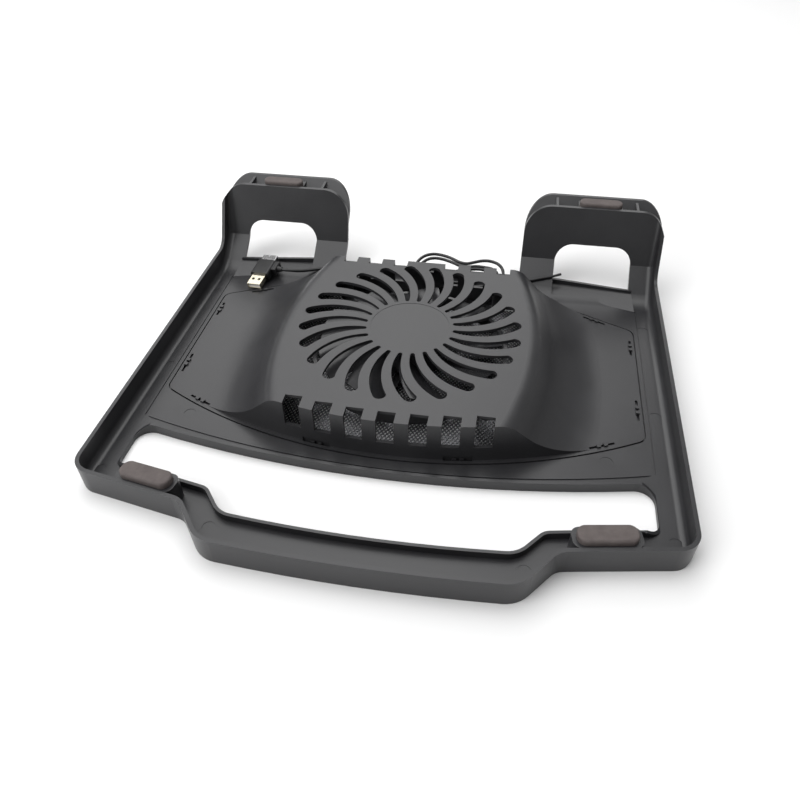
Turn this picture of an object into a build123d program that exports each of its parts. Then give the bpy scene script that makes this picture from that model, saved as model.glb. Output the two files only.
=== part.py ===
from build123d import *
import math
import os

os.makedirs("parts", exist_ok=True)

# The pad lies on its laptop face, with its feet up.
# X is across the pad, Y runs to the rear legs, Z is up, and the laptop face is Z = 0.

# Shell
HALF_W = 180.0          # half of the pad's width
RIM_TOP = 18.5          # height of the side and front rim
WALL = 2.5              # rim wall
FLOOR = 3.0             # top of the moulded floor
EDGE_R = 8.0            # rounding between the laptop face and the sides
INNER_R = 4.5           # the same rounding inside the tray
CORNER = (180.0, -150.7)
KINK = (106.0, -163.6)
BAR_CORNER = (87.0, -187.2)
BAR_FRONT = -190.6
LEG_TOP = 61.5
LEG_IN = 73.0           # inner edge of each leg
RAMP_FOOT = 95.4        # where the floor turns up into a leg
CREASE = (121.5, 22.0)  # where the ramp turns into the leg's wall
LEG_FACE_TOP = 134.5
POCKET_APEX = (129.0, 39.0)
POCKET_REAR = 155.0
REAR_EDGE = 112.0
GROOVE_X = 164.8
FLANGE_TOP = 8.0        # flange on the slot's front side
LIP_REAR_TOP = 7.0      # lip on the slot's rear side
MESH_BASE = 0.8
FOOT_X = 130.8
FOOT_TURN = 9.5
FRONT_FOOT_Y = -149.6
FRONT_SEAT = 17.8
REAR_FOOT_Y = 143.3
REAR_SEAT = 59.4
HOLE_IN = 100.0
HOLE_OUT = 160.0
HOLE_TOP = 34.5
LIP_TOP = 10.0
LEDGE_RISE = 17.0       # slope of the ledge in front of a leg's hole, in degrees
# Ledge and lip in front of a leg's hole, in plan, from the outer end to the inner end
LEDGE_PLAN = [(164.4, 84.2), (162.0, 103.0), (99.0, 112.0), (86.0, 103.5)]
LEDGE_FLOOR = [(164.4, 84.2), (162.0, 103.0), (99.0, 112.0), (99.0, 92.0)]
LIP_PLAN = [(162.0, 102.0), (162.0, 104.2), (98.5, 113.2), (98.5, 111.0)]

# Cover and its dome
COVER_X = 161.0
COVER_R = 328.0
COVER_FRONT = -100.0
COVER_BASE = 1.6
COVER_TOP = 3.2
SKIN = 2.3
DOME_TOP = 32.0
DOME_R = 265.0          # plan radius of the dome's bulging sides
DOME_HALF = 85.0
DOME_MID_Y = -4.0
DOME_FRONT = -97.0
DOME_FRONT_R = 331.0
DOME_REAR = 84.0
VENT_PITCH = 20.0
VENT_W = 11.2
VENT_SILL = 14.2
DOME_TOP_R = 12.0
DOME_FOOT_R = 50.0
CABLE_X = 14.0
CABLE_Z = 9.5
GROMMET_R = 3.0
SCREW_R = 1.25
# Snap windows: x, y, turn, length
CLIPS = [
    (158.2, 37.0, 90, 17.0), (-158.2, 37.0, 90, 17.0), (158.2, -30.5, 90, 20.0), (-158.2, -30.5, 90, 20.0),
    (133.8, -67.2, 24.0, 17.5), (-133.8, -67.2, -24.0, 17.5), (45.3, -93.8, 8.0, 18.5),
    (-45.3, -93.8, -8.0, 18.5), (133.0, 67.4, -24.5, 17.5), (-133.0, 67.4, 24.5, 17.5),
]

# Fan, on the pad's Z axis
SLOTS = 24
FAN_R = 65.0
HUB_R = 24.0
RING_R = 67.0
BLADES = 9
LUG_R = 82.0
LUG_TOP = 14.0
STRUT_TURN = 80.5       # angle of the strut that carries the fan's lead
FRAME_BASE = 4.0
PLATE_TOP = 6.5
SHAFT_R = 1.5

# USB lead
CORD_D = 2.6
HANK_TILT = 17.0
# Pose of the plug at its tip: turned, tipped up and rolled a little; centre of its strain relief
PLUG = Location((-140.8, 68.4, 6.0), (0, 0, -8))
PLUG = PLUG * Location((0, 0, 0), (9.5, 0, 0)) * Location((0, 0, 0), (0, -5, 0))
RELIEF = (13.7, 23.5, -0.6)


# Outline of the tray in plan, seen from above: straight sides, swept front corners,
# an S-shaped step each side and a gently bowed bar between them.
def tray_outline(inset=0.0):
    with BuildSketch() as outline:
        with BuildLine():
            left = [(-x, y) for x, y in (CORNER, KINK, BAR_CORNER)]
            Polyline((-HALF_W, 190.0), *left)
            ThreePointArc(left[-1], (0.0, BAR_FRONT), BAR_CORNER)
            Polyline(BAR_CORNER, KINK, CORNER, (HALF_W, 190.0))
            Line((HALF_W, 190.0), (-HALF_W, 190.0))
        make_face()
        corners = outline.vertices().filter_by(lambda v: abs(v.Y - CORNER[1]) < 1)
        fillet(corners, 14.0)
        kinks = outline.vertices().filter_by(lambda v: abs(v.Y - KINK[1]) < 1)
        fillet(kinks, 11.0)
        bar = outline.vertices().filter_by(lambda v: abs(v.Y - BAR_CORNER[1]) < 1)
        fillet(bar, 19.0)
        if inset:
            offset(amount=-inset)
    return outline.sketch


# Side view of the shell's skin: flat floor, ramp, then the steep wall of the leg.
def side_points(gap):
    ramp = math.atan2(CREASE[1] - FLOOR, CREASE[0] - RAMP_FOOT)
    wall = math.atan2(LEG_TOP - CREASE[1], LEG_FACE_TOP - CREASE[0])
    half = (wall - ramp) / 2
    foot = (RAMP_FOOT + gap * math.tan(ramp / 2), FLOOR - gap)
    reach = gap / math.cos(half)
    mid = (wall + ramp) / 2
    crease = (CREASE[0] + reach * math.sin(mid), CREASE[1] - reach * math.cos(mid))
    rise = LEG_TOP - crease[1]
    top = (crease[0] + rise / math.tan(wall), LEG_TOP)
    return foot, crease, top


def side_volume(gap, ceiling, half_width, foot_r, crease_r):
    foot, crease, top = side_points(gap)
    low = FLOOR - gap
    with BuildPart() as volume:
        with BuildSketch(Plane.YZ.offset(-half_width)) as profile:
            with BuildLine():
                Polyline((-210.0, low), foot, crease, top, *ceiling, (-210.0, low))
            make_face()
            for point, radius in ((foot, foot_r), (crease, crease_r)):
                if radius:
                    near = Vector(*point)
                    fillet(profile.vertices().sort_by(lambda v: (v.center() - near).length)[0], radius)
            bend = profile.vertices().filter_by(lambda v: 100 < v.X < 112 and abs(v.Y - RIM_TOP) < 1)
            if bend:
                fillet(bend, 14.0)
        extrude(amount=2 * half_width)
    return volume.part


# Fillet along the two bottom side edges of a side volume.
def round_sides(volume, half_width, radius, y_max):
    with BuildPart() as rounded:
        add(volume)
        chain = rounded.edges().filter_by(
            lambda e: abs(abs(e.center().X) - half_width) < 0.01
            and e.bounding_box().max.Y < y_max
            and e.center().Z < skin_height(e.center().Y) + 1.0
            and e.bounding_box().size.X < 0.01
            and e.bounding_box().min.Y > -211.0
            and e.bounding_box().size.Y > 1.0
        )
        fillet(chain, radius)
    return rounded.part


# Height of the floor, ramp or leg face at a given y.
def skin_height(y):
    if y < RAMP_FOOT:
        return FLOOR
    if y < CREASE[0]:
        return FLOOR + (y - RAMP_FOOT) * (CREASE[1] - FLOOR) / (CREASE[0] - RAMP_FOOT)
    return CREASE[1] + (y - CREASE[0]) * (LEG_TOP - CREASE[1]) / (LEG_FACE_TOP - CREASE[0])


flange_foot = (105.9, RIM_TOP)
flange_top = (128.2, LEG_TOP)
outer = side_volume(
    FLOOR, [(LEG_FACE_TOP, LEG_TOP), flange_top, flange_foot, (-210.0, RIM_TOP)], HALF_W, 28.0, 14.0
)
inner = side_volume(0.0, [(LEG_FACE_TOP + 6, 80.0), (-210.0, 80.0)], HALF_W - WALL, 25.0, 0.0)
outer = round_sides(outer, HALF_W, EDGE_R, 200)
inner = round_sides(inner, HALF_W - WALL, INNER_R, 200)


# Long slot between the front bar and the panel.
def slot_outline(grow=0.0):
    with BuildSketch() as slot:
        with BuildLine():
            ThreePointArc((-163.0, -96.8), (0.0, -114.5), (163.0, -96.8))
            Polyline((163.0, -96.8), (163.0, -131.3), (98.3, -143.2), (84.6, -159.6))
            ThreePointArc((84.6, -159.6), (0.0, -163.7), (-84.6, -159.6))
            Polyline((-84.6, -159.6), (-98.3, -143.2), (-163.0, -131.3), (-163.0, -96.8))
        make_face()
        fillet(slot.vertices().filter_by(lambda v: abs(v.X) > 160 and v.Y > -100), 10.0)
        fillet(slot.vertices().filter_by(lambda v: abs(v.X) > 160 and v.Y < -100), 8.0)
        fillet(slot.vertices().filter_by(lambda v: 95 < abs(v.X) < 100), 10.0)
        fillet(slot.vertices().filter_by(lambda v: 80 < abs(v.X) < 90), 15.0)
        if grow:
            offset(amount=grow)
    return slot.sketch


# Outline of the bottom cover: bowed front, straight sides, cut rear corners.
def cover_outline(grow=0.0):
    side_y = COVER_FRONT + COVER_R - math.sqrt(COVER_R**2 - COVER_X**2)
    with BuildSketch() as outline:
        with BuildLine():
            ThreePointArc((-COVER_X, side_y), (0.0, COVER_FRONT), (COVER_X, side_y))
            Polyline((COVER_X, side_y), (COVER_X, 57.5), (108.0, 82.0), (92.0, 89.0), (-92.0, 89.0))
            Polyline((-92.0, 89.0), (-108.0, 82.0), (-COVER_X, 57.5), (-COVER_X, side_y))
        make_face()
        fillet(outline.vertices().filter_by(lambda v: abs(v.X) > 160), 7.0)
        if grow:
            offset(amount=grow)
    return outline.sketch


# Section of a leg's pocket, filled up to a given height.
def pocket_section(top):
    lean = (LEG_FACE_TOP - CREASE[0]) / (LEG_TOP - CREASE[1])
    slope = (POCKET_REAR - POCKET_APEX[0]) / (LEG_TOP - POCKET_APEX[1])
    front = LEG_FACE_TOP - (LEG_TOP - top) * lean + 1.5
    rear = POCKET_REAR - (LEG_TOP - top) * slope + 0.5
    return [(POCKET_APEX[0], POCKET_APEX[1] - 1.0), (front, top), (rear, top)]


# Front view of the two legs and the low middle between them.
with BuildPart() as front_view:
    with BuildSketch(Plane.XZ.offset(250)) as view:
        for side in (-1, 1):
            with BuildLine():
                Polyline(
                    (side * LEG_IN, -1.0), (side * LEG_IN, LEG_TOP), (side * (HALF_W + 1), LEG_TOP),
                    (side * (HALF_W + 1), -1.0), (side * LEG_IN, -1.0),
                )
            make_face()
        fillet(view.vertices().filter_by(lambda v: v.Y > 50 and abs(v.X) < 100), 21.0)
        fillet(view.vertices().filter_by(lambda v: v.Y > 50 and abs(v.X) > 100), 18.0)
        with Locations((0, RIM_TOP / 2)):
            Rectangle(2 * LEG_IN, RIM_TOP + 2)
    extrude(amount=-500)

# Ledge that slopes up from the floor to the lip of the right leg's hole
with BuildPart() as ledge:
    with BuildSketch(Plane.XY.offset(FLOOR - 0.5)):
        Polygon(*LEDGE_PLAN, align=None)
    extrude(amount=9)
    front = Vector(*LEDGE_PLAN[3]) - Vector(*LEDGE_PLAN[0])
    level = Plane(origin=(*LEDGE_PLAN[0], FLOOR), x_dir=front, z_dir=(0, 0, 1))
    with Locations(level.location * Location((0, 0, 0), (-LEDGE_RISE, 0, 0))):
        Box(300, 300, 40, align=(Align.CENTER, Align.CENTER, Align.MIN), mode=Mode.SUBTRACT)

# Hollow of the tray inside its walls
with BuildPart() as hollow:
    add(inner)
    with BuildSketch(Plane.XY.offset(-1)):
        add(tray_outline(WALL))
    extrude(amount=110, mode=Mode.INTERSECT)

with BuildPart() as top_shell:
    # Tray and leg plates
    add(outer)
    extrude(tray_outline(), amount=90, mode=Mode.INTERSECT)
    add(hollow.part, mode=Mode.SUBTRACT)
    with Locations((0, 140, 40)):
        Box(2 * LEG_IN, 100, 100, mode=Mode.SUBTRACT)
    with Locations((0, 100, FLOOR / 2)):
        Box(2 * LEG_IN + 1, 24, FLOOR)
    with Locations((0, REAR_EDGE - 1, 5)):
        Box(2 * LEG_IN + 1, 2, 10)
    # Rear wall of each leg's pocket
    with BuildSketch(Plane.YZ.offset(-HALF_W)):
        with BuildLine():
            Polyline(
                (POCKET_APEX[0] - 2, POCKET_APEX[1] - 1.7), (POCKET_REAR, LEG_TOP),
                (POCKET_REAR + 2.9, LEG_TOP), (POCKET_APEX[0] + 0.6, POCKET_APEX[1] - 3.2),
                (POCKET_APEX[0] - 2, POCKET_APEX[1] - 1.7),
            )
        make_face()
    extrude(amount=2 * HALF_W)
    add(front_view.part, mode=Mode.INTERSECT)
    # Long slot, with a low flange along its front side and a lip along its rear side, both
    # fading out at the ends
    with BuildSketch(Plane.XY.offset(1.0)):
        add(slot_outline(2.0))
    extrude(amount=FLANGE_TOP - 1.0)
    with BuildSketch(Plane.XY.offset(LIP_REAR_TOP)):
        with Locations((0, -100)):
            Rectangle(330, 70)
    extrude(amount=3, mode=Mode.SUBTRACT)
    for side in (-1, 1):
        with BuildSketch(Plane.XZ.offset(143)):
            Polygon(*[(side * x, z) for x, z in ((152, 8.5), (163.5, FLOOR), (166, FLOOR), (166, 8.5))], align=None)
        extrude(amount=-49, mode=Mode.SUBTRACT)
    with BuildSketch(Plane.XY.offset(-1)):
        add(slot_outline())
    extrude(amount=15, mode=Mode.SUBTRACT)
    # Shallow trough behind the rear lip
    with BuildSketch(Plane.XY.offset(FLOOR - 0.6)):
        with BuildLine():
            ThreePointArc((-162.8, -87.4), (0, -108.3), (162.8, -87.4))
            Line((162.8, -87.4), (153.0, -93.0))
            ThreePointArc((153.0, -93.0), (0, -111.3), (-153.0, -93.0))
            Line((-153.0, -93.0), (-162.8, -87.4))
        make_face()
    extrude(amount=1, mode=Mode.SUBTRACT)
    # Fine groove along each side border
    with Locations((-GROOVE_X, -1.2, FLOOR), (GROOVE_X, -1.2, FLOOR)):
        Box(0.9, 170.8, 1.0, mode=Mode.SUBTRACT)
    # Hole through each leg, with its raised ledge and its lip
    for side in (-1, 1):
        with BuildSketch(Plane.XZ.offset(-96.5)) as opening:
            with Locations((side * (HOLE_IN + HOLE_OUT) / 2, HOLE_TOP / 2 - 3)):
                Rectangle(HOLE_OUT - HOLE_IN, HOLE_TOP + 6)
            fillet(opening.vertices().filter_by(lambda v: v.Y > 20), 13.5)
        extrude(amount=-60, mode=Mode.SUBTRACT)
        with BuildSketch():
            Polygon(*[(side * x, y) for x, y in LEDGE_FLOOR], align=None)
        extrude(amount=FLOOR)
        add(ledge.part if side == 1 else ledge.part.mirror(Plane.YZ))
        with BuildSketch():
            Polygon(*[(side * x, y) for x, y in LIP_PLAN], align=None)
        extrude(amount=LIP_TOP)
    # Pedestals of the front feet
    for side in (-1, 1):
        with BuildSketch(Plane.XY.offset(FLOOR - 0.5)):
            with Locations(Location((side * FOOT_X, FRONT_FOOT_Y, 0), side * FOOT_TURN)):
                RectangleRounded(38.0, 14.0, 5.0)
        extrude(amount=FRONT_SEAT - FLOOR + 0.5)
    # Ribs in each leg's pocket, and the seat of its foot between them
    for side in (-1, 1):
        for x, width, top in ((97, 2, 60.3), (159.5, 2, 60.3), (FOOT_X, 34, REAR_SEAT)):
            with BuildSketch(Plane.YZ.offset(side * x - width / 2)):
                Polygon(*pocket_section(top), align=None)
            extrude(amount=width)
    # Recess of the cover, seat of the mesh and the opening behind it
    with BuildSketch(Plane.XY.offset(COVER_BASE)):
        add(cover_outline(1.0))
    extrude(amount=6, mode=Mode.SUBTRACT)
    with BuildSketch(Plane.XY.offset(MESH_BASE)):
        add(cover_outline(-9.0))
    extrude(amount=2, mode=Mode.SUBTRACT)
    with BuildSketch(Plane.XY.offset(-1)):
        add(cover_outline(-13.0))
    extrude(amount=3, mode=Mode.SUBTRACT)
    # Pairs of hooks that stand in the cover's windows; the front pair are plain tongues
    for x, y, turn, length in CLIPS:
        head = 1.0 if y < -90 else 2.6
        with Locations(Location((x, y, COVER_BASE - 0.2), turn)):
            with Locations((-2.4, 0, 0), (2.4, 0, 0)):
                Box(2.6, 1.0, 2.9, align=(Align.CENTER, Align.CENTER, Align.MIN))
        with Locations(Location((x, y, COVER_TOP + 0.2), turn)):
            with Locations((-2.4, 0, 0), (2.4, 0, 0)):
                Box(2.6, head, 0.9, align=(Align.CENTER, Align.CENTER, Align.MIN))
    # Marks of the mould's ejector pins
    for mark in ((136, -80.5), (169.5, -35), (89, -168), (171, -137), (136, -98), (169, 60)):
        with Locations(*[(side * mark[0], mark[1], FLOOR) for side in (-1, 1)]):
            Cylinder(4.0, 0.4, mode=Mode.SUBTRACT)
top_shell.part.label = "top_shell"
export_step(top_shell.part, "parts/top_shell.step")


# Half-space under one bulging side of the dome, as a hill turned about a far vertical axis.
def dome_side(side, skin):
    ridge = DOME_R - skin * 0.4
    slope = math.radians(48.0)
    top = DOME_TOP - skin
    base = COVER_TOP - skin
    knee = ridge + 3.0
    foot = knee + (DOME_TOP - COVER_TOP) / math.tan(slope)
    with BuildPart() as hill:
        with BuildSketch(Plane.XZ) as profile:
            with BuildLine():
                FilletPolyline(
                    (ridge - 30.0, top), (knee, top), (foot, base), (foot + 70.0, base),
                    radius=[DOME_TOP_R - skin, DOME_FOOT_R + skin],
                )
                Polyline((foot + 70.0, base), (foot + 70.0, -3.0), (0, -3.0), (0, top), (ridge - 30.0, top))
            make_face()
        revolve(axis=Axis.Z, revolution_arc=360)
    centre = side * (DOME_HALF - DOME_R)
    return hill.part.moved(Location((centre, DOME_MID_Y, 0)))


def dome_volume(skin):
    front_r = DOME_FRONT_R - skin
    centre_y = DOME_FRONT + DOME_FRONT_R
    with BuildPart() as dome:
        add(dome_side(1, skin))
        add(dome_side(-1, skin), mode=Mode.INTERSECT)
        with BuildSketch(Plane.XY.offset(-4)) as ends:
            with Locations((0, centre_y)):
                Circle(front_r)
            with Locations((0, DOME_REAR - skin - 200)):
                Rectangle(2 * COVER_X, 400, mode=Mode.INTERSECT)
        extrude(amount=50, mode=Mode.INTERSECT)
    return dome.part


# One fan slot: narrow at the hub, swept and wide at its round outer end.
def fan_slot():
    with BuildSketch() as slot:
        with BuildLine():
            ThreePointArc((31.5, -1.5), (54.8, -0.8), (75.0, 11.6))
            ThreePointArc((75.0, 11.6), (75.6, 17.2), (70.3, 18.9))
            ThreePointArc((70.3, 18.9), (52.6, 5.9), (31.5, 1.5))
            ThreePointArc((31.5, 1.5), (30.2, 0.0), (31.5, -1.5))
        make_face()
    return slot.sketch


with BuildPart() as bottom_cover:
    with BuildSketch(Plane.XY.offset(COVER_BASE)):
        add(cover_outline())
    extrude(amount=COVER_TOP - COVER_BASE)
    add(dome_volume(0.0))
    with BuildSketch(Plane.XY.offset(COVER_BASE)):
        add(cover_outline())
    extrude(amount=60, mode=Mode.INTERSECT)
    add(dome_volume(SKIN), mode=Mode.SUBTRACT)
    # Bosses for the fan's screws
    with BuildSketch(Plane.XY.offset(LUG_TOP)):
        with PolarLocations(LUG_R, 4, start_angle=45):
            Circle(4.0)
    extrude(amount=DOME_TOP - SKIN - LUG_TOP + 0.5)
    with BuildSketch(Plane.XY.offset(LUG_TOP)):
        with PolarLocations(LUG_R, 4, start_angle=45):
            Circle(SCREW_R)
    extrude(amount=10, mode=Mode.SUBTRACT)
    # Fan slots and the plain hub disc, a shade lower than the rest
    with BuildSketch(Plane.XY.offset(DOME_TOP - SKIN - 1)):
        with PolarLocations(0, SLOTS, start_angle=-2.6):
            add(fan_slot())
    extrude(amount=SKIN + 2, mode=Mode.SUBTRACT)
    with BuildSketch(Plane.XY.offset(DOME_TOP - 0.2)):
        Circle(27.8)
    extrude(amount=1, mode=Mode.SUBTRACT)
    # Vents over the front edge and notches over the rear edge
    for i in range(-3, 4):
        x = i * VENT_PITCH
        front = DOME_FRONT + x * x / 2 / DOME_FRONT_R
        with BuildSketch(Plane.XY.offset(VENT_SILL)):
            with Locations((x, front + 3.5)):
                Rectangle(VENT_W, 11.0)
        extrude(amount=30, mode=Mode.SUBTRACT)
        if i:
            with BuildSketch(Plane.XY.offset(VENT_SILL)):
                with Locations((x, DOME_REAR - 3.0)):
                    Rectangle(10.5, 10.0)
            extrude(amount=30, mode=Mode.SUBTRACT)
    with Locations((2.5, DOME_REAR, 26.5)):
        Box(6.5, 8, 3.0, mode=Mode.SUBTRACT)
    # Cable outlet
    with Locations(Location((CABLE_X, DOME_REAR, CABLE_Z), (90, 0, 0))):
        Cylinder(GROMMET_R, 10, mode=Mode.SUBTRACT)
    # Windows of the snap hooks round the edge
    for x, y, turn, length in CLIPS:
        with Locations(Location((x, y, COVER_TOP), turn)):
            Box(length, 1.7, 6, mode=Mode.SUBTRACT)
bottom_cover.part.label = "bottom_cover"
export_step(bottom_cover.part, "parts/bottom_cover.step")


# Pressed mesh sheet: its rim lies on the shell's seat, its middle is flush with the laptop face
with BuildPart() as mesh_panel:
    with BuildSketch():
        add(cover_outline(-13.4))
    extrude(amount=1.6)
    with BuildSketch(Plane.XY.offset(MESH_BASE)):
        add(cover_outline(-9.3))
    extrude(amount=0.8)
    with BuildSketch(Plane.XY.offset(MESH_BASE)):
        add(cover_outline(-14.2))
    extrude(amount=2, mode=Mode.SUBTRACT)
mesh_panel.part.label = "mesh_panel"
export_step(mesh_panel.part, "parts/mesh_panel.step")


# Rubber foot with rounded ends and a softened top edge
def foot(x, y, turn, width, depth, base, height):
    with BuildPart() as pad:
        with BuildSketch():
            RectangleRounded(width, depth, 5.0)
        extrude(amount=height)
        fillet(pad.faces().sort_by(Axis.Z)[-1].edges(), 1.4)
    return pad.part.moved(Location((x, y, base), turn))


with BuildPart() as foot_front_left:
    add(foot(-FOOT_X, FRONT_FOOT_Y, -FOOT_TURN, 33.0, 11.5, FRONT_SEAT, 4.2))
foot_front_left.part.label = "foot_front_left"
export_step(foot_front_left.part, "parts/foot_front_left.step")

with BuildPart() as foot_front_right:
    add(foot(FOOT_X, FRONT_FOOT_Y, FOOT_TURN, 33.0, 11.5, FRONT_SEAT, 4.2))
foot_front_right.part.label = "foot_front_right"
export_step(foot_front_right.part, "parts/foot_front_right.step")

with BuildPart() as foot_rear_left:
    add(foot(-FOOT_X, REAR_FOOT_Y, 0, 33.0, 10.6, REAR_SEAT, 4.6))
foot_rear_left.part.label = "foot_rear_left"
export_step(foot_rear_left.part, "parts/foot_rear_left.step")

with BuildPart() as foot_rear_right:
    add(foot(FOOT_X, REAR_FOOT_Y, 0, 33.0, 10.6, REAR_SEAT, 4.6))
foot_rear_right.part.label = "foot_rear_right"
export_step(foot_rear_right.part, "parts/foot_rear_right.step")


# Disc or ring on the pad's Z axis
def ring(outer_r, inner_r, base, top, mode=Mode.ADD):
    with BuildSketch(Plane.XY.offset(base)) as section:
        Circle(outer_r)
        if inner_r:
            Circle(inner_r, mode=Mode.SUBTRACT)
    extrude(section.sketch, amount=top - base, mode=mode)


# Fan frame: open ring, four struts, motor plate, bearing tube and four lugs
with BuildPart() as fan_frame:
    ring(RING_R + 2.5, RING_R, FRAME_BASE, LUG_TOP)
    with BuildSketch(Plane.XY.offset(FRAME_BASE)):
        for i in range(4):
            with Locations(Location((0, 0, 0), STRUT_TURN + 90 * i)):
                with Locations((44, 0)):
                    Rectangle(49, 5.0)
    extrude(amount=PLATE_TOP - FRAME_BASE)
    ring(22.0, 0, FRAME_BASE, PLATE_TOP)
    with BuildSketch(Plane.XY.offset(LUG_TOP - 3)):
        for i in range(4):
            with Locations(Location((0, 0, 0), 45 + 90 * i)):
                with Locations((76.5, 0)):
                    Rectangle(15, 10)
                with Locations((LUG_R + 2, 0)):
                    Circle(5.0)
    extrude(amount=3)
    with BuildSketch(Plane.XY.offset(LUG_TOP - 4)):
        with PolarLocations(LUG_R, 4, start_angle=45):
            Circle(1.6)
    extrude(amount=5, mode=Mode.SUBTRACT)
    ring(5.0, 0, PLATE_TOP, 21.0)
    ring(4.0, 0, PLATE_TOP - 1.0, 22.0, Mode.SUBTRACT)
    # Notch that lets the lead out through the ring
    with Locations(Location((0, 0, 0), STRUT_TURN)):
        with Locations((RING_R + 1, 0, PLATE_TOP + 2)):
            Box(6, 4, 4, mode=Mode.SUBTRACT)
fan_frame.part.label = "fan_frame"
export_step(fan_frame.part, "parts/fan_frame.step")

with BuildPart() as thrust_pad:
    ring(2.5, 0, PLATE_TOP - 1.0, PLATE_TOP - 0.4)
thrust_pad.part.label = "thrust_pad"
export_step(thrust_pad.part, "parts/thrust_pad.step")

with BuildPart() as bearing_sleeve:
    ring(4.0, SHAFT_R + 0.03, 8.0, 20.6)
bearing_sleeve.part.label = "bearing_sleeve"
export_step(bearing_sleeve.part, "parts/bearing_sleeve.step")

with BuildPart() as shaft:
    ring(SHAFT_R, 0, PLATE_TOP - 0.4, 24.4)
    ring(SHAFT_R, 1.1, 6.9, 7.5, Mode.SUBTRACT)
shaft.part.label = "shaft"
export_step(shaft.part, "parts/shaft.step")

with BuildPart() as shaft_clip:
    ring(2.4, 1.15, 6.95, 7.45)
    with Locations((2.0, 0, 7.2)):
        Box(3.0, 0.9, 1.0, mode=Mode.SUBTRACT)
shaft_clip.part.label = "shaft_clip"
export_step(shaft_clip.part, "parts/shaft_clip.step")

# Laminated core with four wide poles
with BuildPart() as stator_core:
    with BuildSketch(Plane.XY.offset(10.5)):
        Circle(15.6)
        with PolarLocations(11.5, 4, start_angle=45):
            Circle(4.6, mode=Mode.SUBTRACT)
        with PolarLocations(15.4, 4, start_angle=45):
            Rectangle(3.0, 2.4, mode=Mode.SUBTRACT)
        Circle(5.05, mode=Mode.SUBTRACT)
    extrude(amount=5.0)
stator_core.part.label = "stator_core"
export_step(stator_core.part, "parts/stator_core.step")

# Copper coils above and below the core, one over each pole
with BuildPart() as stator_windings:
    for base in (9.0, 15.5):
        with BuildSketch(Plane.XY.offset(base)):
            with PolarLocations(10.3, 4):
                RectangleRounded(5.0, 9.0, 1.6)
        extrude(amount=1.5)
stator_windings.part.label = "stator_windings"
export_step(stator_windings.part, "parts/stator_windings.step")

with BuildPart() as fan_circuit_board:
    ring(17.5, 5.2, PLATE_TOP + 0.2, PLATE_TOP + 1.2)
    with Locations(Location((0, 0, 0), STRUT_TURN + 45)):
        with Locations((12.0, 0, PLATE_TOP + 1.2)):
            Box(3.0, 3.8, 0.9, align=(Align.CENTER, Align.CENTER, Align.MIN))
fan_circuit_board.part.label = "fan_circuit_board"
export_step(fan_circuit_board.part, "parts/fan_circuit_board.step")

with BuildPart() as magnet_ring:
    ring(19.2, 16.9, 10.0, 21.0)
magnet_ring.part.label = "magnet_ring"
export_step(magnet_ring.part, "parts/magnet_ring.step")

# Steel cup that holds the magnet, with a hub for the shaft
with BuildPart() as rotor_cup:
    ring(20.2, 19.2, 9.0, 23.0)
    ring(20.2, SHAFT_R, 22.2, 23.0)
rotor_cup.part.label = "rotor_cup"
export_step(rotor_cup.part, "parts/rotor_cup.step")


# Section of a blade on a cylinder of the given radius, as a thin arched strip
def blade_section(radius, start, sweep, low, high, thick):
    place = Plane(origin=(radius, 0, 0), x_dir=(0, 1, 0), z_dir=(1, 0, 0))
    half = radius * math.radians(sweep) / 2
    with BuildSketch(place) as section:
        with BuildLine():
            rise = high - low
            bow = rise * 0.10
            ThreePointArc((-half, high), (0, low + rise / 2 + bow), (half, low))
            Line((half, low), (half, low - thick))
            ThreePointArc((half, low - thick), (0, low + rise / 2 + bow - thick), (-half, high - thick))
            Line((-half, high - thick), (-half, high))
        make_face()
    return section.sketch.moved(Location((0, 0, 0), start))


with BuildPart() as blade:
    add(blade_section(23.2, 0.0, 34.0, 11.0, 24.5, 1.3))
    add(blade_section(44.0, 5.0, 29.0, 11.5, 24.0, 1.2))
    add(blade_section(66.5, 14.0, 27.0, 12.5, 23.0, 1.1))
    loft()
    ring(FAN_R, 22.0, 5.0, 30.0, Mode.INTERSECT)

with BuildPart() as impeller:
    for i in range(BLADES):
        add(blade.part.moved(Location((0, 0, 0), 360 / BLADES * i)))
    ring(HUB_R, 0, 8.5, 26.0)
    ring(20.2, 0, 8.0, 23.0, Mode.SUBTRACT)
    ring(SHAFT_R, 0, 22.0, 24.5, Mode.SUBTRACT)
    fillet(impeller.edges().filter_by(GeomType.CIRCLE).group_by(Axis.Z)[-1], 1.5)
    ring(3.4, 2.6, 25.7, 27.0, Mode.SUBTRACT)
impeller.part.label = "impeller"
export_step(impeller.part, "parts/impeller.step")

# Screws up through the lugs into the cover's bosses
with BuildPart() as fan_screws:
    for i in range(4):
        turn = math.radians(45 + 90 * i)
        with Locations((LUG_R * math.cos(turn), LUG_R * math.sin(turn), LUG_TOP - 3)):
            Cylinder(2.8, 1.6, align=(Align.CENTER, Align.CENTER, Align.MAX))
            Cylinder(SCREW_R, 10.0, align=(Align.CENTER, Align.CENTER, Align.MIN))
        with Locations((LUG_R * math.cos(turn), LUG_R * math.sin(turn), LUG_TOP - 4.6)):
            Box(3.4, 0.7, 0.9, align=(Align.CENTER, Align.CENTER, Align.MIN), mode=Mode.SUBTRACT)
            Box(0.7, 3.4, 0.9, align=(Align.CENTER, Align.CENTER, Align.MIN), mode=Mode.SUBTRACT)
fan_screws.part.label = "fan_screws"
export_step(fan_screws.part, "parts/fan_screws.step")


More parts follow.
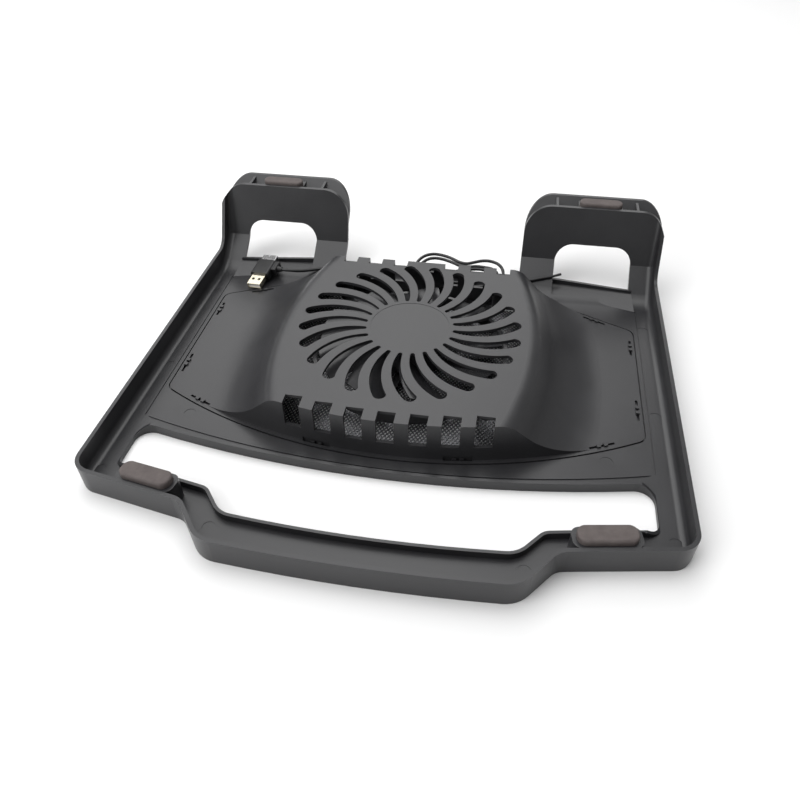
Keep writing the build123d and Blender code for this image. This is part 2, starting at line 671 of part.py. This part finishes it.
# Tube along straight runs joined by arcs as large as the runs allow
def tube(points, diameter, name):
    corners = [Vector(*p) for p in points]
    radii = []
    for before, here, after in zip(corners, corners[1:], corners[2:]):
        turn = math.radians((here - before).get_angle(after - here))
        radii.append(0.45 * min((here - before).length, (after - here).length) / math.tan(turn / 2))
    with BuildPart() as result:
        with BuildLine() as path:
            FilletPolyline(*points, radius=radii)
        with BuildSketch(Plane(origin=points[0], z_dir=path.line % 0)):
            Circle(diameter / 2)
        sweep()
    length = path.wires()[0].length
    print(name, "length", round(length, 1), "radii", [round(r, 1) for r in radii])
    return result.part


# Lead from the circuit board along its strut to the grommet
lead_z = PLATE_TOP + 0.9
fan_lead_route = [(18.4, 0.0, lead_z), (33.0, 0.8, lead_z), (49.0, -0.7, lead_z), (64.0, 0.5, lead_z)]
fan_lead_route += [(72.5, -0.2, 8.4), (81.1, 0.0, 9.3)]
with BuildPart() as fan_lead:
    add(tube(fan_lead_route, 1.5, "fan_lead").moved(Location((0, 0, 0), STRUT_TURN)))
fan_lead.part.label = "fan_lead"
export_step(fan_lead.part, "parts/fan_lead.step")

# Grommet: flange inside the dome's rear wall, neck in its hole, tapered collar outside
with BuildPart() as cable_grommet:
    with BuildSketch(Plane.YZ.offset(CABLE_X)):
        with BuildLine():
            Polyline(
                (DOME_REAR - SKIN - 1.6, CABLE_Z), (DOME_REAR - SKIN - 1.6, CABLE_Z + 4.2),
                (DOME_REAR - SKIN, CABLE_Z + 4.2), (DOME_REAR - SKIN, CABLE_Z + GROMMET_R),
                (DOME_REAR, CABLE_Z + GROMMET_R), (DOME_REAR, CABLE_Z + 4.0),
                (DOME_REAR + 0.8, CABLE_Z + 4.0), (DOME_REAR + 2.2, CABLE_Z + 2.0),
                (DOME_REAR + 2.2, CABLE_Z), (DOME_REAR - SKIN - 1.6, CABLE_Z),
            )
        make_face()
    revolve(axis=Axis((CABLE_X, DOME_REAR, CABLE_Z), (0, 1, 0)), revolution_arc=360)
cable_grommet.part.label = "cable_grommet"
export_step(cable_grommet.part, "parts/cable_grommet.step")


# USB lead from the plug, along the rear of the dome, to the hank
cord_route = [
    (-122.1, 89.04, 10.64), (-115.1, 88.2, 11.0), (-107.2, 91.8, 8.8), (-98.5, 97.2, 7.7),
    (-87.5, 100.2, 8.5), (-75.0, 98.4, 7.4), (-61.0, 95.0, 5.2), (-45.0, 92.8, 4.6),
    (-27.0, 93.6, 4.8), (-9.5, 91.3, 5.5),
]
with BuildPart() as usb_cord:
    add(tube(cord_route, CORD_D, "usb_cord"))
usb_cord.part.label = "usb_cord"
export_step(usb_cord.part, "parts/usb_cord.step")

# End of the lead that goes from the hank, over its turns, into the grommet
tail_route = [
    (14.0, 86.2, 9.5), (14.0, 91.8, 9.5), (17.2, 97.6, 10.3), (23.6, 101.4, 10.2), (29.5, 102.0, 9.6),
]
with BuildPart() as usb_cord_tail:
    add(tube(tail_route, CORD_D, "usb_cord_tail"))
usb_cord_tail.part.label = "usb_cord_tail"
export_step(usb_cord_tail.part, "parts/usb_cord_tail.step")

# Outer shape of the tied hank, which lies on the floor and leans on the rear edge
with BuildPart() as usb_cord_hank:
    with BuildSketch() as hank_plan:
        with BuildLine():
            Spline(
                (-8.0, -18.2), (18, -20.2), (42, -19.9), (56.5, -14.0), (62.6, -3.0), (60.0, 9.6), (49, 15.8),
                (38, 14.2), (29, 11.2), (19, 15.4), (4, 18.6), (-9, 15.0), (-14.6, 4.0), (-13.0, -9.0),
                periodic=True,
            )
        make_face()
    extrude(amount=CORD_D)
    turned = usb_cord_hank.part.moved(Location((0, 108.0, 9.7), (HANK_TILT, 0, 0)))
usb_cord_hank.part = turned
usb_cord_hank.part.label = "usb_cord_hank"
export_step(usb_cord_hank.part, "parts/usb_cord_hank.step")

# Plastic-coated tie twisted round the hank's end, with one long tail
tie_route = [
    (63.5, 103.0, 10.4), (72.0, 104.6, 11.2), (81.3, 103.6, 10.9),
    (89.5, 105.8, 12.4), (97.6, 107.6, 13.6), (106.2, 110.4, 15.4),
]
with BuildPart() as cable_tie:
    add(tube(tie_route, 2.0, "cable_tie"))
cable_tie.part.label = "cable_tie"
export_step(cable_tie.part, "parts/cable_tie.step")


# Block of the plug, placed by its centre across, its start and end from the tip, and its section
def plug_block(across, start, end, width, height, radius=0.0):
    with BuildPart() as block:
        with Locations((across, (start + end) / 2, 0)):
            Box(width, end - start, height)
        if radius:
            fillet(block.edges().filter_by(Axis.Y), radius)
    return block.part.moved(PLUG)


with BuildPart() as plug_shell:
    add(plug_block(0, 0, 15, 12.0, 4.5, 0.5))
    add(plug_block(0, -1, 16, 11.2, 3.7), mode=Mode.SUBTRACT)
    for side in (-1, 1):
        with Locations(PLUG):
            with Locations((side * 2.7, 6.2, 2.0)):
                Box(2.5, 2.5, 1.5, mode=Mode.SUBTRACT)
plug_shell.part.label = "plug_shell"
export_step(plug_shell.part, "parts/plug_shell.step")

with BuildPart() as plug_tongue:
    with Locations(PLUG):
        with Locations((0, 7.9, -0.9)):
            Box(11.2, 14.2, 1.9)
plug_tongue.part.label = "plug_tongue"
export_step(plug_tongue.part, "parts/plug_tongue.step")

# Moulded body, with the side block and strain relief that the lead comes out of
with BuildPart() as plug_overmould:
    add(plug_block(0, 12, 29, 16.0, 7.8, 2.0))
    add(plug_block(9.0, 18.5, 28.5, 6.0, 6.0, 1.6))
    add(plug_block(0, 11, 15, 12.0, 4.5, 0.5), mode=Mode.SUBTRACT)
    add(plug_block(0, 25, 30, 13.2, 5.8, 0.6), mode=Mode.SUBTRACT)
    with Locations(PLUG):
        with Locations(Location(RELIEF, (0, 90, 0))):
            Cone(2.7, 1.7, 3.6)
plug_overmould.part.label = "plug_overmould"
export_step(plug_overmould.part, "parts/plug_overmould.step")

with BuildPart() as socket_shell:
    add(plug_block(0, 25, 35.8, 13.2, 5.8, 0.6))
    add(plug_block(0, 25.4, 37, 12.4, 5.0), mode=Mode.SUBTRACT)
socket_shell.part.label = "socket_shell"
export_step(socket_shell.part, "parts/socket_shell.step")

with BuildPart() as socket_tongue:
    add(plug_block(0, 25.4, 27, 12.4, 5.0))
    add(plug_block(0, 27, 35, 10.8, 1.8))
socket_tongue.part.label = "socket_tongue"
export_step(socket_tongue.part, "parts/socket_tongue.step")
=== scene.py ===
import bpy
import bmesh
import math
from mathutils import Matrix, Vector


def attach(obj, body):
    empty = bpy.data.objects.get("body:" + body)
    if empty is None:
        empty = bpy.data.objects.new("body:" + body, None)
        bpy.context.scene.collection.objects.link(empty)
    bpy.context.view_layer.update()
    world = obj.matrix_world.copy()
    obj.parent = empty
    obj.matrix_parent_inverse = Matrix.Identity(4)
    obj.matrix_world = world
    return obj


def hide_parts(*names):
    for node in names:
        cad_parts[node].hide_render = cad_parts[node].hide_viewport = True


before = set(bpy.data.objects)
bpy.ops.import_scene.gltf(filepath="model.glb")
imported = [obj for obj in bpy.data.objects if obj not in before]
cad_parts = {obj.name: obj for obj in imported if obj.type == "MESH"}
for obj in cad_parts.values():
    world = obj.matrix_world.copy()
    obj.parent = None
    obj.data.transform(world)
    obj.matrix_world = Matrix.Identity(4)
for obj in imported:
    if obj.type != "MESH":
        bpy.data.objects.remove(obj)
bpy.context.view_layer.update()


# ---------------------------------------------------------------- camera
# The viewpoint, direction and slight roll of the photograph, solved in the shared frame.
CAMERA_PLACE = (0.062107, -0.387081, 0.323850)
CAMERA_YAW, CAMERA_DROP, CAMERA_ROLL = -10.213, 42.739, -0.67
CAMERA_LENS, CAMERA_SENSOR = 31.29, 36.0


def make_camera():
    yaw, drop, roll = math.radians(CAMERA_YAW), math.radians(CAMERA_DROP), math.radians(CAMERA_ROLL)
    look = Vector((math.sin(yaw) * math.cos(drop), math.cos(yaw) * math.cos(drop), -math.sin(drop)))
    across = look.cross(Vector((0, 0, 1))).normalized()
    up = across.cross(look)
    right = math.cos(roll) * across + math.sin(roll) * up
    top = math.cos(roll) * up - math.sin(roll) * across
    data = bpy.data.cameras.new("camera")
    data.lens = CAMERA_LENS
    data.sensor_width = CAMERA_SENSOR
    data.clip_start, data.clip_end = 0.01, 20.0
    cam = bpy.data.objects.new("camera", data)
    bpy.context.scene.collection.objects.link(cam)
    turn = Matrix((right, top, -look)).transposed().to_4x4()
    cam.matrix_world = Matrix.Translation(CAMERA_PLACE) @ turn
    bpy.context.scene.camera = cam


make_camera()


# ---------------------------------------------------------------- materials
# Colour code in sRGB to the linear values that Blender's sockets take.
def linear(code):
    parts = [int(code[i:i + 2], 16) / 255 for i in (1, 3, 5)]
    return tuple(c / 12.92 if c <= 0.04045 else ((c + 0.055) / 1.055) ** 2.4 for c in parts) + (1.0,)


# Adds a node, sets its properties and sockets, and links what is passed as a socket. A socket is
# named by its number (i0, i1) or by its name, with underscores for spaces.
def node(tree, kind, props=None, **sockets):
    made = tree.nodes.new(kind)
    for key, value in (props or {}).items():
        setattr(made, key, value)
    for key, value in sockets.items():
        numbered = key[0] == "i" and key[1:].isdigit()
        socket = made.inputs[int(key[1:]) if numbered else key.replace("_", " ")]
        if isinstance(value, bpy.types.NodeSocket):
            tree.links.new(value, socket)
        else:
            socket.default_value = value
    return made


# Colour ramp from (position, colour) stops
def ramp(tree, value, stops):
    made = tree.nodes.new("ShaderNodeValToRGB")
    tree.links.new(value, made.inputs[0])
    elements = made.color_ramp.elements
    while len(elements) < len(stops):
        elements.new(0.5)
    for element, (at, colour) in zip(elements, stops):
        element.position = at
        element.color = colour
    return made.outputs[0]


# Principled material with a two-tone mottle, uneven sheen and fine bump. The grain and the
# blotches are real sizes in metres.
def surface(
    name, dark, light, rough, spread=0.05, metal=0.0, grain=0.0006, depth=0.1, blotch=0.03,
    coat=0.0, specular=0.5, stretch=(1, 1, 1),
):
    mat = bpy.data.materials.new(name)
    mat.use_nodes = True
    tree = mat.node_tree
    shader = tree.nodes["Principled BSDF"]
    where = node(tree, "ShaderNodeTexCoord").outputs["Object"]
    if stretch != (1, 1, 1):
        where = node(tree, "ShaderNodeMapping", i0=where, Scale=stretch).outputs[0]
    wide = node(
        tree, "ShaderNodeTexNoise", Vector=where, Scale=1 / blotch, Detail=4.0, Roughness=0.6
    ).outputs[0]
    fine = node(tree, "ShaderNodeTexNoise", Vector=where, Scale=1 / grain, Detail=2.0).outputs[0]
    tones = ramp(tree, wide, [(0.3, linear(dark)), (0.7, linear(light))])
    tree.links.new(tones, shader.inputs["Base Color"])
    sheen = node(
        tree, "ShaderNodeMapRange", i0=wide, i1=0.25, i2=0.75, i3=rough - spread, i4=rough + spread
    ).outputs[0]
    tree.links.new(sheen, shader.inputs["Roughness"])
    bump = node(tree, "ShaderNodeBump", Strength=depth, Distance=grain * 0.5, Height=fine).outputs[0]
    tree.links.new(bump, shader.inputs["Normal"])
    shader.inputs["Metallic"].default_value = metal
    shader.inputs["Specular IOR Level"].default_value = specular
    if coat:
        shader.inputs["Coat Weight"].default_value = coat
        shader.inputs["Coat Roughness"].default_value = 0.15
    return mat


# Gives CAD pieces their material
def paint(material, *names):
    for name in names:
        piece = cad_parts[name]
        piece.data.materials.clear()
        piece.data.materials.append(material)


# Adds a new piece that rides on the pad
def link(name, data, material):
    piece = bpy.data.objects.new(name, data)
    bpy.context.scene.collection.objects.link(piece)
    data.materials.append(material)
    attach(piece, "pad")
    return piece


# ---------------------------------------------------------------- top shell
# The tray that carries the laptop, with its side walls, front bar and both rear legs.
# One injection moulding in black ABS with a fine satin texture on every face.
PLASTIC = surface(
    "satin black plastic", "#262628", "#2f2f31", 0.34, 0.05, grain=0.0004, depth=0.12, blotch=0.06
)
paint(PLASTIC, "top_shell")


# ---------------------------------------------------------------- bottom cover
# The domed cover over the fan, a smoother black moulding than the tray.
# It drops into the tray's recess and its windows click over the tray's hooks.
COVER = surface(
    "cover black plastic", "#28282a", "#313133", 0.37, 0.05, grain=0.0004, depth=0.1, blotch=0.05
)
paint(COVER, "bottom_cover")


# ---------------------------------------------------------------- mesh panel
# Expanded steel mesh that the laptop's air comes through, enamelled dark grey.
# A pressed pan: open diamonds in the middle, a plain band round them and a raised rim
# that lies on the tray's seat under the cover.
MESH = surface("enamelled steel mesh", "#6f6f72", "#808084", 0.32, 0.06, 0.6, 0.0003, 0.1, 0.02)

# The cover's outline: one large arc in front and straight edges, each as its outward direction
# and its distance from the fan's axis. The insets below are measured in from this outline.
ARC_RADIUS, ARC_CENTRE = 0.328, 0.228
EDGES = [
    (1.0, 0.0, 0.161), (-1.0, 0.0, 0.161), (0.4196, 0.9077, 0.11975), (-0.4196, 0.9077, 0.11975),
    (0.4008, 0.9162, 0.1184), (-0.4008, 0.9162, 0.1184), (0.0, 1.0, 0.089),
]


# The sheet's thickness, the raised rim, the plain band inside it and the lattice of diamonds.
# A strand is two halves wide, and the grid of diamonds starts larger than the panel.
SHEET = 0.0008
RIM_INSET, RIM_WIDTH = 0.0093, 0.0049
BAND_INSET, BAND_WIDTH = 0.0134, 0.0036
LATTICE_INSET = 0.0155
LATTICE_BASE, LATTICE_THICK = 0.0001, 0.0006
DIAMOND_X, DIAMOND_Y, STRAND_HALF = 0.0027, 0.0038, 0.00031
DIAMONDS = 160


# Thickens flat faces upward
def thicken(bm, faces, thick):
    raised = bmesh.ops.extrude_face_region(bm, geom=faces, use_keep_orig=True)["geom"]
    verts = [g for g in raised if isinstance(g, bmesh.types.BMVert)]
    bmesh.ops.translate(bm, vec=(0, 0, thick), verts=verts)


# Plain ring of sheet that starts at an inset from the outline and is one width wide
def band(bm, inset, width, base):
    disc = bmesh.ops.create_circle(
        bm, cap_ends=True, radius=ARC_RADIUS - inset, segments=720,
        matrix=Matrix.Translation((0, ARC_CENTRE, base)),
    )
    part = {face for vert in disc["verts"] for face in vert.link_faces}
    for nx, ny, reach in EDGES:
        geom = [g for face in part for g in [face, *face.edges, *face.verts]]
        cut = bmesh.ops.bisect_plane(
            bm, geom=list(dict.fromkeys(geom)), clear_outer=True, plane_no=(nx, ny, 0),
            plane_co=(nx * (reach - inset), ny * (reach - inset), base),
        )
        part = {g for g in cut["geom"] if isinstance(g, bmesh.types.BMFace) and g.is_valid}
    middle = list(part)
    sides = bmesh.ops.inset_region(bm, faces=middle, thickness=width, use_even_offset=True)["faces"]
    bmesh.ops.delete(bm, geom=middle, context="FACES")
    thicken(bm, sides, SHEET)


def past_lattice(face):
    x, y, _ = face.calc_center_median()
    if math.hypot(x, y - ARC_CENTRE) > ARC_RADIUS - LATTICE_INSET:
        return True
    return any(nx * x + ny * y > reach - LATTICE_INSET for nx, ny, reach in EDGES)


def make_mesh_panel():
    bm = bmesh.new()
    squeeze = Matrix.Diagonal((DIAMOND_X / 2**0.5, DIAMOND_Y / 2**0.5, 1, 1))
    bmesh.ops.create_grid(
        bm, x_segments=DIAMONDS, y_segments=DIAMONDS, size=DIAMONDS / 2,
        matrix=squeeze @ Matrix.Rotation(math.pi / 4, 4, "Z"),
    )
    outer = [face for face in bm.faces if past_lattice(face)]
    bmesh.ops.delete(bm, geom=outer, context="FACES")
    holes = list(bm.faces)
    bmesh.ops.inset_individual(bm, faces=holes, thickness=STRAND_HALF, use_even_offset=True)
    bmesh.ops.delete(bm, geom=holes, context="FACES")
    bmesh.ops.translate(bm, vec=(0, 0, LATTICE_BASE), verts=bm.verts)
    thicken(bm, list(bm.faces), LATTICE_THICK)
    band(bm, BAND_INSET, BAND_WIDTH, 0.0)
    band(bm, RIM_INSET, RIM_WIDTH, SHEET)
    bmesh.ops.recalc_face_normals(bm, faces=bm.faces)
    mesh = bpy.data.meshes.new("mesh_sheet")
    bm.to_mesh(mesh)
    bm.free()
    sheet = link("mesh_sheet", mesh, MESH)
    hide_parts("mesh_panel")


make_mesh_panel()


# ---------------------------------------------------------------- feet
# Four moulded rubber pads that keep the pad from sliding on the desk.
# Warm dark grey and dull, each pressed and glued on its seat.
RUBBER = surface(
    "foot rubber", "#544d4c", "#625b59", 0.72, 0.06, grain=0.0003, depth=0.4, blotch=0.006,
    specular=0.3,
)
paint(RUBBER, "foot_front_left", "foot_front_right", "foot_rear_left", "foot_rear_right")


# ---------------------------------------------------------------- fan
# Frame and impeller are glossy black mouldings; the frame hangs on four screws from the dome.
# The rotor is a pressed steel cup with a bonded magnet ring on a ground steel shaft.
# The black plastic is coloured dark grey: painted light for the light the blades catch through the
# cover's slots.
FAN_PAINTED_LIGHT = surface("fan black plastic with painted light", "#343436", "#3e3e40", 0.2, 0.04, grain=0.0005, depth=0.04)
STEEL = surface(
    "rotor steel", "#8f9092", "#a2a3a5", 0.34, 0.06, 1.0, 0.0003, 0.06, 0.01, stretch=(1, 1, 6)
)
MAGNET = surface("bonded magnet", "#2b2624", "#37312e", 0.7, 0.06, 0.0, 0.0002, 0.2, 0.005)
SHAFT = surface("ground steel", "#b4b5b7", "#c2c3c4", 0.18, 0.04, 1.0, 0.0002, 0.03, 0.004)
ZINC = surface("zinc plated screw", "#a9aaa4", "#bdbdb6", 0.3, 0.07, 1.0, 0.0002, 0.06, 0.003)
paint(FAN_PAINTED_LIGHT, "fan_frame", "impeller")
paint(STEEL, "rotor_cup")
paint(MAGNET, "magnet_ring")
paint(SHAFT, "shaft")
paint(ZINC, "fan_screws")


# ---------------------------------------------------------------- motor
# Fixed half of the motor: laminated core with enamelled coils over a small circuit board,
# round a sintered brass sleeve in the frame's tube. The clip and thrust pad are white nylon.
CORE = surface(
    "laminated core", "#5c5d60", "#717276", 0.42, 0.08, 1.0, 0.0005, 0.3, 0.006,
    stretch=(0.05, 0.05, 2),
)
COPPER = surface(
    "enamelled copper", "#8e3d1a", "#b35a2a", 0.3, 0.06, 0.9, 0.0004, 0.3, 0.004, coat=0.4
)
BOARD = surface(
    "board laminate", "#123a20", "#1a4a2a", 0.38, 0.05, 0.0, 0.0004, 0.08, 0.006, coat=0.3
)
BRASS = surface("sintered brass", "#9a7438", "#ae8848", 0.4, 0.06, 1.0, 0.0002, 0.12, 0.003)
NYLON = surface("white nylon", "#d6d3ca", "#e2dfd6", 0.45, 0.05, 0.0, 0.0003, 0.06, 0.004)
paint(CORE, "stator_core")
paint(COPPER, "stator_windings")
paint(BOARD, "fan_circuit_board")
paint(BRASS, "bearing_sleeve")
paint(NYLON, "thrust_pad", "shaft_clip")


# ---------------------------------------------------------------- fan lead and grommet
# Thin two-core lead from the circuit board along its strut, and the soft grommet in the
# dome's rear wall where the outer lead comes through.
VINYL = surface("lead vinyl", "#151516", "#1c1c1e", 0.4, 0.06, grain=0.0003, depth=0.1, blotch=0.01)
SOFT = surface("grommet rubber", "#141414", "#1b1b1b", 0.6, 0.05, grain=0.0003, depth=0.2, blotch=0.01)
paint(VINYL, "fan_lead")
paint(SOFT, "cable_grommet")


# ---------------------------------------------------------------- USB lead
# One vinyl lead: from the plug's strain relief along the dome, just under three loose turns of a
# tied hank that leans on the rear edge, then over its own turns into the dome's rear grommet.
CORD_RADIUS = 0.0013
HANK_RISE = math.tan(math.radians(17.0))
HANK_MIDDLE, HANK_HEIGHT = 110.0, 11.75


# Puts a point of the hank on its slope; it and the lists below are in millimetres
def on_slope(x, y):
    return (x, y, HANK_HEIGHT + (y - HANK_MIDDLE) * HANK_RISE)


PLUG_RUN = [
    (-123.0, 89.2, 10.5), (-115.1, 88.2, 11.0), (-107.2, 91.8, 8.8), (-98.5, 97.2, 7.7),
    (-87.5, 100.2, 8.5), (-75.0, 98.4, 7.4), (-61.0, 95.0, 5.2), (-45.0, 92.8, 4.6),
    (-27.0, 93.6, 4.8), (-9.5, 91.3, 5.9),
]
TURNS = [
    (4, 90.6), (17, 90), (30, 90.2), (43, 90.8), (53.5, 94), (59.5, 101), (60.5, 111),
    (56.5, 118.6), (49, 121.6), (42, 121.4), (35, 118.8), (29, 116.4), (22.5, 117.6),
    (15.5, 121.4), (8, 123.6), (0, 124.4), (-7.5, 121.4), (-12.5, 114.5), (-13, 106),
    (-8.6, 98.6), (3, 93.9), (16, 93.2), (30, 93.4), (42, 94.2), (50.5, 97.5), (55, 103.4),
    (55.5, 109.5), (51, 113.6), (44, 114.6), (37, 114.9), (30, 113.4), (24, 113.9), (17, 117),
    (8, 119.8), (0, 120), (-5.5, 117), (-9.3, 111.5), (-9.6, 105.5), (-5.5, 100.2), (3, 97.2),
    (16, 96.7), (30, 96.5), (43.2, 96.5), (49.5, 98.9), (51.9, 104.5), (49.5, 110),
    (43.2, 112.2), (36, 112), (29, 110.4),
]
TAIL = [
    (21.5, 108.2, 11.3), (16.0, 103.6, 10.9), (14.2, 97.4, 10.8), (14.0, 91.8, 9.9),
    (14.0, 86.2, 9.5),
]


# The curve starts at the grommet, where the lead is fixed
def make_cord():
    points = PLUG_RUN + [on_slope(x, y) for x, y in TURNS] + TAIL
    points.reverse()
    curve = bpy.data.curves.new("usb_lead", "CURVE")
    curve.dimensions = "3D"
    spline = curve.splines.new("NURBS")
    spline.points.add(len(points) - 1)
    for point, (x, y, z) in zip(spline.points, points):
        point.co = (x / 1000, y / 1000, z / 1000, 1)
    spline.order_u = 3
    spline.use_endpoint_u = True
    spline.resolution_u = 6
    curve.bevel_depth = CORD_RADIUS
    curve.bevel_resolution = 4
    curve.use_fill_caps = True
    cord = link("usb_lead", curve, VINYL)
    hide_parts("usb_cord", "usb_cord_hank", "usb_cord_tail")


make_cord()


# ---------------------------------------------------------------- tie
# Vinyl-coated wire tie twisted round the hank, one long tail left straight.
paint(VINYL, "cable_tie")


# ---------------------------------------------------------------- plug and socket
# Pass-through USB connector: a plug one way and a socket the other in one moulded grip.
# The shells are folded nickel-plated sheet round white plastic tongues.
MOULD = surface("plug vinyl", "#161617", "#1d1d1e", 0.42, 0.05, grain=0.0003, depth=0.15, blotch=0.008)
NICKEL = surface("nickel plated shell", "#cfc8b4", "#ded8c6", 0.24, 0.06, 1.0, 0.0003, 0.04, 0.006)
BRIGHT = surface("nickel plated socket", "#b9b9ba", "#c9c9ca", 0.26, 0.06, 1.0, 0.0003, 0.04, 0.006)
TONGUE = surface("connector tongue", "#dedcd4", "#e8e6df", 0.4, 0.04, 0.0, 0.0003, 0.05, 0.004)
paint(MOULD, "plug_overmould")
paint(NICKEL, "plug_shell")
paint(BRIGHT, "socket_shell")
paint(TONGUE, "plug_tongue", "socket_tongue")


# ---------------------------------------------------------------- stage
# Seamless white floor and soft studio light. The floor is a hair under the pad, so that the two
# faces do not flicker.
FLOOR_DROP, FLOOR_HALF = 0.0002, 6.0
WORLD_LIGHT = 0.33
AREAS = [
    ("top", (-0.3, 0.3, 1.6), (2.0, 1.6), 25),
    ("back", (-0.6, 1.9, 1.4), (3.0, 1.0), 18),
    ("left", (-1.3, -1.0, 0.9), (1.2, 1.2), 17),
]


# Rectangular light that faces the origin
def area(name, place, size, power):
    data = bpy.data.lights.new(name, "AREA")
    data.shape = "RECTANGLE"
    data.size, data.size_y = size
    data.energy = power
    lamp = bpy.data.objects.new(name, data)
    bpy.context.scene.collection.objects.link(lamp)
    lamp.location = place
    lamp.rotation_mode = "QUATERNION"
    lamp.rotation_quaternion = (-Vector(place)).to_track_quat("-Z", "Y")


def make_stage():
    bm = bmesh.new()
    bmesh.ops.create_grid(bm, x_segments=1, y_segments=1, size=FLOOR_HALF)
    mesh = bpy.data.meshes.new("floor")
    bm.to_mesh(mesh)
    bm.free()
    floor = bpy.data.objects.new("floor", mesh)
    bpy.context.scene.collection.objects.link(floor)
    floor.location = (0, 0, -FLOOR_DROP)
    mat = bpy.data.materials.new("white floor")
    mat.use_nodes = True
    shader = mat.node_tree.nodes["Principled BSDF"]
    shader.inputs["Base Color"].default_value = linear("#f4f4f4")
    shader.inputs["Roughness"].default_value = 0.9
    mesh.materials.append(mat)
    world = bpy.data.worlds.new("studio")
    bpy.context.scene.world = world
    world.use_nodes = True
    background = world.node_tree.nodes["Background"]
    background.inputs["Color"].default_value = (1, 1, 1, 1)
    background.inputs["Strength"].default_value = WORLD_LIGHT
    for name, place, size, power in AREAS:
        area(name, place, size, power)


make_stage()
bpy.context.scene.view_settings.view_transform = "Standard"
